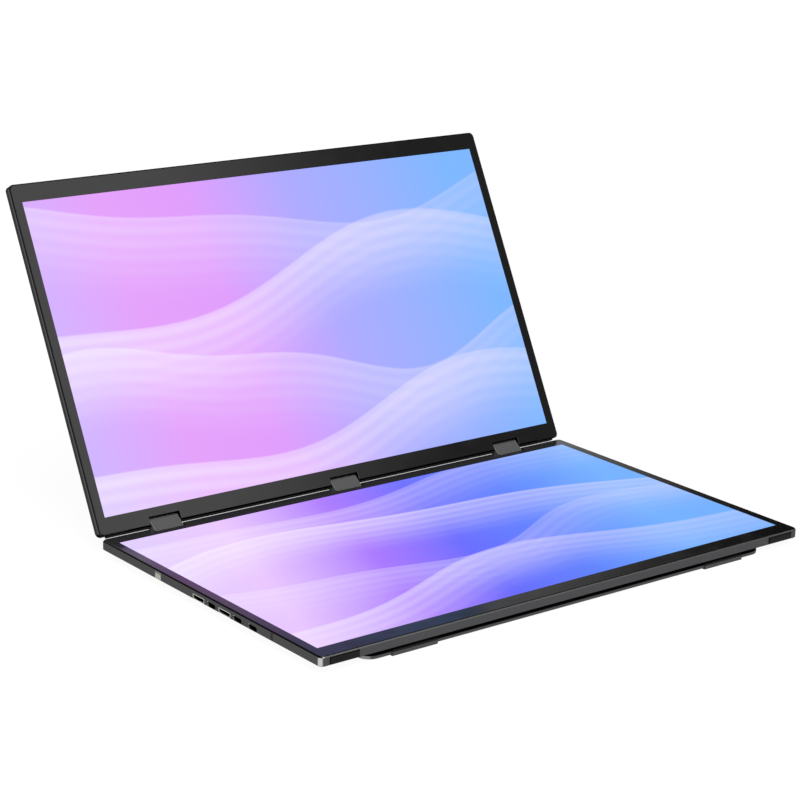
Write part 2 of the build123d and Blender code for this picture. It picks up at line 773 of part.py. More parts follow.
for name, side in side_places.items():
    middle = across(lower, side * stand_hinge_across)
    with BuildPart() as stand_bracket:
        for end in side_places.values():
            with BuildSketch(stand_axis.offset(middle + end * ear_start)):
                with Locations(knuckle_center):
                    Circle(knuckle_radius)
                ear_height = pocket_ceiling - stand_axis_level
                with Locations((stand_axis_place, stand_axis_level + ear_height / 2)):
                    Rectangle(2 * knuckle_radius, ear_height)
                leaf_middle = pocket_rear + pocket_gap + bracket_leaf / 2
                arm_length = stand_axis_place - leaf_middle
                with Locations((leaf_middle + arm_length / 2, pocket_ceiling - leaf_thickness / 2)):
                    Rectangle(arm_length, leaf_thickness)
            extrude(amount=end * ear_thickness)
        with BuildSketch(lower.offset(pocket_ceiling - leaf_thickness)):
            with Locations((middle, pocket_rear + pocket_gap + bracket_leaf / 2)):
                Rectangle(2 * ear_end, bracket_leaf)
            with Locations(*[(middle + end * knuckle_length / 4, stand_screw_back) for end in (-1, 1)]):
                Circle(screw_radius + fit_gap, mode=Mode.SUBTRACT)
        extrude(amount=leaf_thickness)
        with BuildSketch(stand_axis.offset(middle)):
            with Locations(knuckle_center):
                Circle(pin_radius + running_gap)
        extrude(amount=ear_end, both=True, mode=Mode.SUBTRACT)
    keep(stand_bracket.part, f"stand_bracket_{name}")

    with BuildPart() as stand_pin:
        with BuildSketch(stand_axis.offset(middle)):
            with Locations(knuckle_center):
                Circle(pin_radius)
        extrude(amount=ear_end, both=True)
    keep(stand_pin.part, f"stand_pin_{name}")

with BuildPart() as lower_screws:
    add(screws(lower, leaf_bottom + leaf_thickness, bracket_screw_places(), 1))
    add(screws(lower, board_top, main_screws, 1))
    add(screws(lower, pocket_ceiling - leaf_thickness, stand_screws, -1))
keep(lower_screws.part, "lower_screws")

plate_rear = stand_axis_place + stand_edge
relief_front = stand_axis_place + knuckle_radius + pocket_gap
with BuildPart() as stand_plate:
    with BuildSketch(lower.offset(stand_bottom)) as outline:
        with Locations((0, (plate_rear + stand_reach) / 2)):
            Rectangle(stand_width, stand_reach - plate_rear)
        fillet(outline.vertices().group_by(Axis.Y)[-1], stand_corner)
        fillet(outline.vertices().group_by(Axis.Y)[0], stand_rear_corner)
    extrude(amount=stand_thickness)
    chamfer(stand_plate.faces().sort_by(Axis.Z)[0].edges(), stand_edge)
    for side in side_places.values():
        with BuildSketch(lower.offset(stand_bottom)):
            with Locations((side * stand_hinge_across, (plate_rear + relief_front) / 2 - stand_edge)):
                Rectangle(2 * (ear_end + pocket_gap), relief_front - plate_rear + 2 * stand_edge)
        extrude(amount=stand_thickness, mode=Mode.SUBTRACT)
        with BuildSketch(lower.offset(stand_bottom)):
            with Locations((side * stand_hinge_across, (stand_axis_place + relief_front) / 2)):
                Rectangle(knuckle_length, relief_front - stand_axis_place)
        extrude(amount=stand_thickness)
        with BuildSketch(stand_axis.offset(side * stand_hinge_across)):
            with Locations(knuckle_center):
                Circle(knuckle_radius)
        extrude(amount=knuckle_length / 2, both=True)
        with BuildSketch(stand_axis.offset(side * stand_hinge_across)):
            with Locations(knuckle_center):
                Circle(pin_radius)
        extrude(amount=knuckle_length / 2, both=True, mode=Mode.SUBTRACT)
keep(stand_plate.part, "stand_plate")

# Rubber pads that wrap the stand's free edge
pad_front_edge = stand_reach + pad_front
for name, side in side_places.items():
    middle = across(lower, side * pad_across)
    with BuildPart() as pad:
        with BuildSketch(stand_axis.offset(middle - pad_length / 2)):
            with BuildLine():
                Polyline(
                    (stand_reach - pad_bottom_reach, table_level),
                    (pad_front_edge, table_level),
                    (pad_front_edge, stand_top + pad_lip),
                    (stand_reach - pad_top_reach, stand_top + pad_lip),
                    (stand_reach - pad_top_reach, stand_top),
                    (stand_reach, stand_top),
                    (stand_reach, stand_bottom),
                    (stand_reach - pad_bottom_reach, stand_bottom),
                    close=True,
                )
            make_face()
        extrude(amount=pad_length)
        chamfer(pad.faces().filter_by(Axis.X).edges().group_by(Axis.Y)[0], pad_edge)
    keep(pad.part, f"stand_pad_{name}")
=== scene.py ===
# %% [markdown]
# A stacked dual-screen monitor. The measured model comes in as a fixed frame of
# separate pieces. This lesson dresses those pieces: a camera and a small studio
# first, then one finish after another, then the fine pieces that a bench drawing
# leaves out.

# %% Load the frame
import json
from math import cos, pi, radians, sin

import bmesh
import bpy
import numpy as np
from mathutils import Matrix, Vector


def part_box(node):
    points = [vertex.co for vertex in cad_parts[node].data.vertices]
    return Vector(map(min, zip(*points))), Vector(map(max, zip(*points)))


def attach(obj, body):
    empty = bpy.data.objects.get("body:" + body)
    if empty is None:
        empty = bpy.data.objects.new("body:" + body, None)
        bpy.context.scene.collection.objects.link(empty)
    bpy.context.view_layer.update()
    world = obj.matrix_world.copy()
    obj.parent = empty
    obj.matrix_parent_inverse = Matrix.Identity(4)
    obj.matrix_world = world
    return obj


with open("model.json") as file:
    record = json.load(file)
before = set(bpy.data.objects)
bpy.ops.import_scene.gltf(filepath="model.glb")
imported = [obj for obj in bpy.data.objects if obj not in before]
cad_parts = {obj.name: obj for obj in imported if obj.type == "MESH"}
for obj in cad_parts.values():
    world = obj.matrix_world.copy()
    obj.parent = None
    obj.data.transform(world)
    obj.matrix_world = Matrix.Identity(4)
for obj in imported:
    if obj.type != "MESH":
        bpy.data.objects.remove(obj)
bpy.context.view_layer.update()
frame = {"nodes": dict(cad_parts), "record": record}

nodes = frame["nodes"]
mm = 0.001
print("pieces in the frame:", len(nodes))

# %% [markdown]
# The camera. The corners of both lit areas were matched in the picture, which
# gives the place, the direction and the lens. Blender's camera looks along its
# own -Z with +Y up, so its matrix is built from the three directions. A constraint
# could aim it too, but would lose the slight roll.

# %% Camera
sensor_width = 36.0
lens_length = 107.81
camera_place = Vector((-0.86437, -1.07748, 0.48667))
look_along = Vector((0.59890, 0.74935, -0.28246))
look_right = Vector((0.78577, -0.61794, 0.02672))

camera = bpy.data.objects.new("camera", bpy.data.cameras.new("camera"))
camera.data.lens = lens_length
camera.data.sensor_width = sensor_width
look_up = look_right.cross(look_along)
turn = Matrix((look_right, look_up, -look_along)).transposed()
camera.matrix_world = Matrix.Translation(camera_place) @ turn.to_4x4()
bpy.context.scene.collection.objects.link(camera)
bpy.context.scene.camera = camera
print("camera at", [round(v, 3) for v in camera_place])

# %% [markdown]
# Helpers for materials. Colours are written as they look on screen and turned to
# the linear values that the renderer adds up. One function adds any shader node:
# options by name, sockets by a dictionary, and a socket that is given another
# node or one of its outputs is linked to it.


# %% Material helpers
def linear(hex_colour):
    """sRGB hex to linear: below 0.04045 a straight line, above it a power of 2.4."""
    steps = np.array([int(hex_colour[i : i + 2], 16) for i in (1, 3, 5)]) / 255
    values = np.where(steps <= 0.04045, steps / 12.92, ((steps + 0.055) / 1.055) ** 2.4)
    return (*(float(v) for v in values), 1.0)


def add(tree, kind, sockets=None, **options):
    """Add one shader node with its options, and set or link its sockets."""
    node = tree.nodes.new(kind)
    for option, value in options.items():
        setattr(node, option, value)
    for socket, value in (sockets or {}).items():
        if isinstance(value, bpy.types.Node):
            value = next(output for output in value.outputs if output.enabled)
        if isinstance(value, bpy.types.NodeSocket):
            tree.links.new(value, node.inputs[socket])
        else:
            node.inputs[socket].default_value = value
    return node


def start(name):
    """A new material with an empty tree, and the coordinates of the piece itself."""
    material = bpy.data.materials.new(name)
    material.use_nodes = True
    material.node_tree.nodes.clear()
    place = add(material.node_tree, "ShaderNodeTexCoord").outputs["Object"]
    return material, material.node_tree, place


def finish_surface(tree, sockets):
    """End a tree in one surface shader."""
    surface = add(tree, "ShaderNodeBsdfPrincipled", sockets)
    add(tree, "ShaderNodeOutputMaterial", {"Surface": surface})


def per_metre(size):
    """Pattern scale that gives features of a size in metres."""
    return 1 / size


def wear(material, *names):
    """Give CAD nodes a material."""
    for name in names:
        nodes[name].data.materials.clear()
        nodes[name].data.materials.append(material)


print("helpers ready")

# %% [markdown]
# The studio floor is a sheet of matt white paper. Bare paper would go grey where
# the light falls off, so most of what the camera and shiny surfaces see of it is
# a plain white of strength 1, and the rest is the paper with the shadow on it.

# %% Floor
scene = bpy.context.scene
scene.view_settings.view_transform = "Standard"
floor_half = 30.0
white_share = 0.94

floor_mesh = bpy.data.meshes.new("floor")
corners = np.array([(-1, -1, 0), (1, -1, 0), (1, 1, 0), (-1, 1, 0)]) * floor_half
floor_mesh.from_pydata(corners.tolist(), [], [(0, 1, 2, 3)])
floor = bpy.data.objects.new("floor", floor_mesh)
scene.collection.objects.link(floor)

paper, tree, _ = start("matt white paper sweep")
rays = add(tree, "ShaderNodeLightPath").outputs
seen = rays["Is Camera Ray"]
for ray in ("Is Glossy Ray", "Is Transmission Ray"):
    seen = add(tree, "ShaderNodeMath", {0: seen, 1: rays[ray]}, operation="MAXIMUM")
share = add(tree, "ShaderNodeMath", {0: seen, 1: white_share}, operation="MULTIPLY")
shaded = add(tree, "ShaderNodeBsdfDiffuse", {"Color": linear("#fbfbfb"), "Roughness": 1.0})
plain = add(tree, "ShaderNodeEmission", {"Color": linear("#ffffff"), "Strength": 1.0})
surface = add(tree, "ShaderNodeMixShader", {0: share, 1: shaded, 2: plain})
add(tree, "ShaderNodeOutputMaterial", {"Surface": surface})
floor_mesh.materials.append(paper)
print("floor of", 2 * floor_half, "m")

# %% [markdown]
# The main light hangs above on the left, as a lamp behind a large diffuser would.
# An area lamp would do, but a sun with a wide disc gives the same soft shadow with
# one direction and one angle to set.

# %% Sun
sun_from = Vector((-0.7, -1.1, 3.2))
sun_strength = 2.3
sun_disc = radians(40)
sun = bpy.data.objects.new("overhead sun", bpy.data.lights.new("overhead sun", "SUN"))
sun.data.energy = sun_strength
sun.data.angle = sun_disc
sun.rotation_mode = "QUATERNION"
sun.rotation_quaternion = sun_from.to_track_quat("Z", "Y")
scene.collection.objects.link(sun)
print("sun from", [round(v, 2) for v in sun_from.normalized()])

# %% [markdown]
# The sky stands for the studio round the object: a white sweep low all round that
# stands higher behind and on the left, a dark ceiling, and a weak lamp behind on
# the left that draws the slanted edge of the left wall. Cards and walls could be
# modelled instead, but smooth steps along a direction make the same shapes with
# nothing in the way of a camera.

# %% Sky
rightward = (0.786, -0.618, 0.0)
horizon_band = (0.10, 0.16)
sweep_slope = 0.3
sweep_end = (0.135, 0.24)
sweep_strength = 0.75
sweep_top = (0.38, 0.46)
back_lamp = (-0.28, 0.75, 0.6)
back_lamp_cone = (0.86, 0.97)
back_lamp_strength = 0.5
ceiling = 0.008
smoothly = {"interpolation_type": "SMOOTHSTEP"}


def between(value, ends, below=0.0, above=1.0):
    """Sockets of a range: one level up to its first end, another from its second end on."""
    return {"Value": value, "From Min": ends[0], "From Max": ends[1], "To Min": below, "To Max": above}


world = bpy.data.worlds.new("white sweep under a dark ceiling")
scene.world = world
world.use_nodes = True
tree = world.node_tree
tree.nodes.clear()
way = add(tree, "ShaderNodeTexCoord").outputs["Generated"]
parts = add(tree, "ShaderNodeSeparateXYZ", {"Vector": way}).outputs

horizon = add(tree, "ShaderNodeMapRange", between(parts["Z"], horizon_band, 1.0, 0.0), **smoothly)
side = add(tree, "ShaderNodeVectorMath", {0: way, 1: rightward}, operation="DOT_PRODUCT")
reach = add(tree, "ShaderNodeMath", {0: parts["Z"], 1: sweep_slope, 2: side}, operation="MULTIPLY_ADD")
sweep = add(tree, "ShaderNodeMapRange", between(reach, sweep_end, sweep_strength, 0.0), **smoothly)
top = add(tree, "ShaderNodeMapRange", between(parts["Z"], sweep_top, 1.0, 0.0), **smoothly)
sweep = add(tree, "ShaderNodeMath", {0: sweep, 1: top}, operation="MULTIPLY")
towards = add(tree, "ShaderNodeVectorMath", {0: way, 1: back_lamp}, operation="DOT_PRODUCT")
glow = add(tree, "ShaderNodeMapRange", between(towards, back_lamp_cone, 0.0, back_lamp_strength), **smoothly)
light = horizon
for shape in (sweep, ceiling, glow):
    light = add(tree, "ShaderNodeMath", {0: light, 1: shape}, operation="MAXIMUM")
print("sky shapes ready")

# %% [markdown]
# A softbox stands in front. Glass shows little colour of its own, so such shapes
# are what the eye reads as gloss: the black border of the upper screen goes from
# grey to black along the softbox's soft edge, and the lower border does so along
# the end of the sweep. The box is one soft edge cut off by three more.

# %% Softbox
softbox_edge = (0.755, 0.656, -0.42)
softbox_fade = (-0.275, -0.145)
softbox_strength, softbox_spill = 1.5, 0.23
softbox_sides = [
    # part of the direction, where the side lies, level before it, level after it
    ("Z", (0.2, 0.3), 0.0, 1.0),
    ("Z", (0.8, 0.9), 1.0, 0.0),
    ("Y", (-0.25, -0.1), 1.0, 0.0),
]

edge = add(tree, "ShaderNodeVectorMath", {0: way, 1: softbox_edge}, operation="DOT_PRODUCT")
fade = between(edge, softbox_fade, softbox_strength, softbox_spill)
softbox = add(tree, "ShaderNodeMapRange", fade, **smoothly)
for part, ends, before, after in softbox_sides:
    side = add(tree, "ShaderNodeMapRange", between(parts[part], ends, before, after), **smoothly)
    softbox = add(tree, "ShaderNodeMath", {0: softbox, 1: side}, operation="MULTIPLY")
light = add(tree, "ShaderNodeMath", {0: light, 1: softbox}, operation="MAXIMUM")
sky = add(tree, "ShaderNodeBackground", {"Color": linear("#ffffff"), "Strength": light})
add(tree, "ShaderNodeOutputWorld", {"Surface": sky})
print("softbox with", len(softbox_sides), "cut sides")

# %% [markdown]
# The screens. Behind each cover glass a black border is printed, and the panel
# shows through the window that the print leaves. The panel is bonded to the glass,
# so the picture seems to lie in its front face: one material gives the glass, the
# print and the picture. First comes the place of each window, from the display
# that lies behind the glass.

# %% Where the lit areas lie
lean = radians(62.2)
display_border = 1.8 * mm
glass_thickness = 0.8 * mm


def lit_area(name, tilt):
    """Corner, width and height of the lit area on a tilted display's glass: extents along x, up and out."""
    flat = np.empty(len(nodes[name].data.vertices) * 3)
    nodes[name].data.vertices.foreach_get("co", flat)
    points = flat.reshape(-1, 3)
    up = np.array([0.0, cos(tilt), sin(tilt)])
    out = np.array([0.0, -sin(tilt), cos(tilt)])
    low = np.array([points[:, 0].min(), (points @ up).min()]) + display_border
    high = np.array([points[:, 0].max(), (points @ up).max()]) - display_border
    front = (points @ out).max() + glass_thickness
    corner = np.array([low[0], 0.0, 0.0]) + low[1] * up + front * out
    return corner, high[0] - low[0], high[1] - low[1]


lower_lit = lit_area("lower_display", 0.0)
upper_lit = lit_area("upper_display", lean)
print("lit areas in mm:", [[round(v / mm, 1) for v in lit[1:]] for lit in (lower_lit, upper_lit)])

# %% [markdown]
# The wallpaper is a plain one made here: a ground that shifts from lilac through
# violet to sky blue, and rows of soft dunes across it. Each dune is a wavy crest
# line with a pale veil that falls away below it, and faint ripples that follow the
# crest. Sines and smooth steps are enough for this, so it stays sharp at any size.

# %% Colours and dunes of the wallpaper
lower_ground = [
    (0.0, "#dccbfd"),
    (0.2, "#e6c4fd"),
    (0.42, "#a673fa"),
    (0.6, "#6467fa"),
    (0.78, "#5c80fb"),
    (1.0, "#70aefe"),
]
upper_ground = [(0.0, "#c9b0fc"), (0.22, "#e09af7"), (0.4, "#dc96f8"), (0.62, "#a9a4fd"), (1.0, "#76b2fe")]
lower_slant = -0.2
upper_slant = 0.08
lower_dunes = [
    # level of the crest, height of its swell, swells across, phase, strength of its veil
    (0.95, 0.07, 0.75, 0.55, 0.35),
    (0.68, 0.12, 0.62, 0.05, 0.55),
    (0.44, 0.10, 0.90, 0.40, 0.30),
    (0.20, 0.11, 0.70, 0.85, 0.45),
]
upper_dunes = [
    (0.90, 0.09, 0.70, 0.30, 0.35),
    (0.66, 0.13, 0.58, 0.75, 0.55),
    (0.40, 0.10, 0.85, 0.15, 0.40),
    (0.18, 0.10, 0.66, 0.60, 0.60),
]
print("dunes:", len(lower_dunes), "below and", len(upper_dunes), "above")

# %% [markdown]
# The picture as nodes. A colour ramp alone gives only straight bands, so each crest
# is a sum of two sines, and subtracting the height tells what lies below it. The
# veils get weaker from left to right.

# %% Wallpaper
veil_colour = "#f6ecff"
veil_fall = 0.30
faded_veil = 0.45
crest_line = 0.004
ripple_spacing = 0.045
ripple_depth = 0.16
whole = (0.0, 1.0)
crest_swells = [
    # share of the dune's rise, and its waves and phase times these
    (1.0, 1.0, 1.0),
    (0.3, 2.3, 1.7),
]


def swell(tree, across, waves, phase):
    """Sine of the place across, in waves across the picture and a phase from 0 to 1."""
    turns = {0: across, 1: 2 * pi * waves, 2: 2 * pi * phase}
    angle = add(tree, "ShaderNodeMath", turns, operation="MULTIPLY_ADD")
    return add(tree, "ShaderNodeMath", {0: angle}, operation="SINE")


def ground_colour(tree, across, height, ground, slant):
    """Colours along the place across, slanted by a share of the height."""
    slanted = add(tree, "ShaderNodeMath", {0: height, 1: slant, 2: across}, operation="MULTIPLY_ADD")
    slanted = add(tree, "ShaderNodeMath", {0: slanted, 1: max(-slant, 0.0)}, operation="ADD")
    ramp = add(tree, "ShaderNodeValToRGB", {"Fac": slanted})
    stops = ramp.color_ramp.elements
    for _ in ground[2:]:
        stops.new(1.0)
    for stop, (position, colour) in zip(stops, ground):
        stop.position = position
        stop.color = linear(colour)
    return ramp.outputs["Color"]


def wallpaper(tree, across, height, ground, slant, dunes):
    """The ground, then for each dune a veil from its crest down: crest minus height is its depth."""
    colour = ground_colour(tree, across, height, ground, slant)
    fading = add(tree, "ShaderNodeMapRange", between(across, whole, 1.0, faded_veil))
    for level, rise, waves, phase, strength in dunes:
        crest = level
        for share, faster, later in crest_swells:
            wave = swell(tree, across, faster * waves, later * phase)
            raised = {0: wave, 1: share * rise, 2: crest}
            crest = add(tree, "ShaderNodeMath", raised, operation="MULTIPLY_ADD")
        depth = add(tree, "ShaderNodeMath", {0: crest, 1: height}, operation="SUBTRACT")
        below = add(tree, "ShaderNodeMapRange", between(depth, (-crest_line, crest_line)), **smoothly)
        veil = add(tree, "ShaderNodeMapRange", between(depth, (0.0, veil_fall), strength, 0.0), **smoothly)
        ripple = swell(tree, depth, 1 / ripple_spacing, phase)
        ripple = add(tree, "ShaderNodeMath", {0: ripple, 1: ripple_depth, 2: 1.0}, operation="MULTIPLY_ADD")
        for factor in (below, ripple, fading):
            veil = add(tree, "ShaderNodeMath", {0: veil, 1: factor}, operation="MULTIPLY")
        layers = {"Factor": veil, "A": colour, "B": linear(veil_colour)}
        colour = add(tree, "ShaderNodeMix", layers, data_type="RGBA")
    return colour


print("wallpaper ready, ripples in a picture's height:", round(1 / ripple_spacing))

# %% [markdown]
# Marks are what sets one part of a surface off from the rest, and most of them here
# are painted light and shade: a dark edge, a highlight on a corner, a shaded lip. Each
# is a mask worked out from the piece's own place or from the way its surface faces,
# and a colour that the mask lets through. Painting each face by hand would do the
# same, but a mask still fits when a size changes.


# %% Marks
def beyond(direction, low, high):
    """Mask that rises from 0 to 1 between two places along a direction."""

    def mask(tree, place):
        along = add(tree, "ShaderNodeVectorMath", {0: place, 1: direction}, operation="DOT_PRODUCT")
        return add(tree, "ShaderNodeMapRange", between(along, (low, high)), **smoothly)

    return mask


def turned_to(tree, direction):
    """Cosine between the way the surface faces and a direction: their dot product."""
    normal = add(tree, "ShaderNodeTexCoord").outputs["Normal"]
    return add(tree, "ShaderNodeVectorMath", {0: normal, 1: direction}, operation="DOT_PRODUCT")


def facing(direction, low, high):
    """Mask that rises from 0 to 1 as the surface turns towards a direction, between two cosines."""

    def mask(tree, place):
        turned = turned_to(tree, direction)
        return add(tree, "ShaderNodeMapRange", between(turned, (low, high)), **smoothly)

    return mask


def both(*masks):
    """Mask that shows only where all the given masks do: their product."""

    def mask(tree, place):
        shown = masks[0](tree, place)
        for other in masks[1:]:
            shown = add(tree, "ShaderNodeMath", {0: shown, 1: other(tree, place)}, operation="MULTIPLY")
        return shown

    return mask


def marked(tree, place, colour, marks):
    """Lay marks over a colour, one after another."""
    for mask, mark_colour in marks:
        layers = {"Factor": mask(tree, place), "A": colour, "B": linear(mark_colour)}
        colour = add(tree, "ShaderNodeMix", layers, data_type="RGBA")
    return colour


print("marks ready")

# %% [markdown]
# Cover glass: aluminosilicate sheet, printed black on its back. Over the border it
# is polished, with a faint haze of finger grease some 15 mm across. The window has
# a fine etched skin against glare, so it mirrors no sharp shapes. The lower glass,
# which is always seen at a slant, also has an anti-reflection coat, and that lowers
# its index and blurs what it mirrors. The coat thins out towards the hinge, and so
# does the print. The window is a test on the piece's own coordinates, moved and
# turned into the panel's plane by a Mapping node, so that both run from 0 to 1.

# %% Cover glass
etched_roughness = 0.38
grease_size = 15 * mm
grease_range = (0.4, 0.7)
print_black = "#09090a"
middle = 0.5


def cover_glass(name, lit, tilt, picture, indices, haze, marks=()):
    """Glass printed black behind, lit in the window, where both parts are within 0.5 of the middle."""
    corner, width, height = lit
    material, tree, place = start(name)
    plane = {"Vector": place, "Location": corner, "Rotation": (tilt, 0, 0), "Scale": (width, height, 1)}
    window = add(tree, "ShaderNodeMapping", plane, vector_type="TEXTURE")
    parts = add(tree, "ShaderNodeSeparateXYZ", {"Vector": window}).outputs
    within = []
    for part in (parts["X"], parts["Y"]):
        from_middle = add(tree, "ShaderNodeMath", {0: part, 1: middle}, operation="SUBTRACT")
        distance = add(tree, "ShaderNodeMath", {0: from_middle}, operation="ABSOLUTE")
        within.append(add(tree, "ShaderNodeMath", {0: distance, 1: middle}, operation="LESS_THAN"))
    inside = add(tree, "ShaderNodeMath", {0: within[0], 1: within[1]}, operation="MULTIPLY")
    smears = {"Vector": place, "Scale": per_metre(grease_size), "Detail": 4.0}
    grease = add(tree, "ShaderNodeTexNoise", smears)
    polish = add(tree, "ShaderNodeMapRange", between(grease, grease_range, *haze), **smoothly)
    skin = {0: inside, 1: etched_roughness, 2: polish}
    index = indices[0]
    if indices[1] != index:
        index = add(tree, "ShaderNodeMapRange", between(parts["Y"], whole, *indices), **smoothly)
    finish_surface(
        tree,
        {
            "Base Color": marked(tree, window, linear(print_black), marks),
            "Roughness": add(tree, "ShaderNodeMath", skin, operation="MULTIPLY_ADD"),
            "IOR": index,
            "Emission Color": wallpaper(tree, parts["X"], parts["Y"], *picture),
            "Emission Strength": inside,
        },
    )
    return material


print("glass ready, etched to a roughness of", etched_roughness)

# %% [markdown]
# Both glasses are made the same way. The lower one gets the coat, as an index that
# rises towards the hinge, and the thin print there. The upper one has an even index
# and an even print, and these go straight into the shader.

# %% Both screens
hinge_end = (0.94, 1.0)
thin_print = [(beyond((0, 1, 0), *hinge_end), "#272728")]
lower_glass = cover_glass(
    "coated cover glass, lower",
    lower_lit,
    0.0,
    (lower_ground, lower_slant, lower_dunes),
    indices=(1.3, 1.48),
    haze=(0.16, 0.22),
    marks=thin_print,
)
upper_glass = cover_glass(
    "polished cover glass, upper",
    upper_lit,
    lean,
    (upper_ground, upper_slant, upper_dunes),
    indices=(1.5, 1.5),
    haze=(0.05, 0.11),
)
wear(lower_glass, "lower_glass")
wear(upper_glass, "upper_glass")
print("both screens lit")

# %% [markdown]
# Dark grey anodised aluminium. The frames, covers and stand were milled or pressed,
# bead blasted and dyed: a satin metal whose fine pits spread the highlights. The
# pits are real but too small for this picture, so they are drawn about three times
# as coarse. A metal shows what stands round it, and here that is mostly the white
# floor, so its colour is written as dark as it looks. The dye also takes a little
# unevenly over some 18 mm, which keeps long walls from looking like plastic.

# %% Blasted metal
cloud_size = 18 * mm
dye_spread = 0.06
roughness_spread = 0.05
pit_strength = 0.25


def blasted_metal(name, colour, grit, roughness, depth, marks=(), slanting="#ffffff"):
    """Dyed metal with random pits of a grit in metres, marks, and a tint of slanting reflections."""
    material, tree, place = start(name)
    pits = add(tree, "ShaderNodeTexNoise", {"Vector": place, "Scale": per_metre(grit), "Detail": 3.0})
    cloud = add(tree, "ShaderNodeTexNoise", {"Vector": place, "Scale": per_metre(cloud_size), "Detail": 2.0})
    dye = linear(colour)[:3]
    full, thin = ([share * v for v in dye] + [1] for share in (1 - dye_spread, 1 + dye_spread))
    shade = add(tree, "ShaderNodeMix", {"Factor": cloud, "A": full, "B": thin}, data_type="RGBA")
    shade = marked(tree, place, shade, marks)
    smooth, rough = roughness - roughness_spread, roughness + roughness_spread
    spread = add(tree, "ShaderNodeMapRange", between(pits, whole, smooth, rough))
    bump = add(tree, "ShaderNodeBump", {"Height": pits, "Strength": pit_strength, "Distance": depth})
    sockets = {"Base Color": shade, "Metallic": 1.0, "Roughness": spread, "Normal": bump}
    finish_surface(tree, {**sockets, "Specular Tint": linear(slanting)})
    return material


print("blasted metal ready")

# %% [markdown]
# The walls that face the hinge, with the notches that the links turn in, get black
# painted shade, so that the gap between the panels reads as a dark line. Both frames
# get the same painted shade. It is found by the distance from the hinge axis along
# the panel, which the frame's own record gives, so it lies right on both.

# %% Hinge shade
axes = {joint["name"]: np.array(joint["pos_m"]) for joint in frame["record"]["behaviour"]["joints"]}
panel_runs = {"lower": np.array([0.0, -1.0, 0.0]), "upper": np.array([0.0, cos(lean), sin(lean)])}
painted_from = 1.9 * mm
notch_end = 3.4 * mm
notch_span = 160 * mm
paint_blur = 0.03
span_blur = 0.01
painted_shade_black = "#0b0b0c"


def hinge_shade(panel):
    """Painted shade for the wall behind a panel's hinge axis, and for the notches that reach past it."""
    back = -panel_runs[panel]
    axis = float(axes[f"{panel}_hinge"] @ back)
    wall = beyond(back, axis + (1 - paint_blur) * painted_from, axis + (1 + paint_blur) * painted_from)
    notches = both(
        beyond(back, axis - notch_end, axis - (1 - paint_blur) * notch_end),
        beyond((1, 0, 0), -notch_span, (span_blur - 1) * notch_span),
        beyond((-1, 0, 0), -notch_span, (span_blur - 1) * notch_span),
    )
    # both marks are black painted shade
    return [(wall, painted_shade_black), (notches, painted_shade_black)]


for panel in panel_runs:
    print(panel, "hinge axis in mm:", [round(v / mm, 1) for v in axes[f"{panel}_hinge"]])

# %% [markdown]
# Two marks lie low at the front. The upright corners at the ends of the front wall
# get a painted highlight, and so do the corners of the stand below it. A narrow gap
# round each rubber bumper gets painted shade.

# %% Front corners and bumper gaps
front_zone = 140 * mm
highlight_direction = (0.82, 0.57, 0.0)
highlight_turn = (0.85, 0.975)
bumper_gap = 0.5 * mm
gap_blur = 0.2
in_front = beyond((0, -1, 0), front_zone, (1 + span_blur) * front_zone)


def corner_highlight(tree, place):
    """Mask of the painted highlight on upright corners in front: the sizes of the facing's parts, dotted
    with the highlight's direction.
    """
    normal = add(tree, "ShaderNodeTexCoord").outputs["Normal"]
    sizes = add(tree, "ShaderNodeVectorMath", {0: normal}, operation="ABSOLUTE")
    turned = add(tree, "ShaderNodeVectorMath", {0: sizes, 1: highlight_direction}, operation="DOT_PRODUCT")
    corner = add(tree, "ShaderNodeMapRange", between(turned, highlight_turn), **smoothly)
    return add(tree, "ShaderNodeMath", {0: corner, 1: in_front(tree, place)}, operation="MULTIPLY")


def shade_round_bumper(name):
    """Mask of the painted shade on the front wall round a bumper: beyond the four sides of its box, grown by
    the gap.
    """
    low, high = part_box(name)
    sides = [((1, 0, 0), low[0]), ((-1, 0, 0), -high[0]), ((0, 0, 1), low[2]), ((0, 0, -1), -high[2])]
    inner_gap = (1 - gap_blur) * bumper_gap
    masks = [beyond(inwards, side - bumper_gap, side - inner_gap) for inwards, side in sides]
    return both(in_front, *masks)


print("front marks ready")

# %% [markdown]
# The lower frame. Its marks are painted light and shade. The upper edge of its front
# wall gets a painted highlight, and so does the slanted rim of the left wall, while
# the left wall gets a lit tone of its own. The lower edge of the walls gets painted
# shade, and so do the inner half of the left rim, beside the glass, and the rim of the
# left corner. All of these are found by the way the surface faces, and the half rim by
# its place too. Pairs of cosines say how far a surface has to turn. The skin is rough,
# so slanting reflections are dull.

# %% Lower frame
slant = 0.707
edge_turn = (0.9, 0.97)
under_turn = (0.3, 0.6)
wall_turn = (0.7, 0.95)
corner_rim_way = (-0.55, -0.44, 0.71)
corner_rim_turn = (0.955, 0.985)
inner_from, inner_full = 0.12 * mm, 0.2 * mm
frame_skin = {
    "colour": "#525254",
    "grit": 0.25 * mm,
    "roughness": 0.38,
    "depth": 0.01 * mm,
    "slanting": "#b0b0b0",
}
front_rim_highlight = facing((0, -slant, slant), *edge_turn)
lower_edge = facing((0, 0, -1), *under_turn)
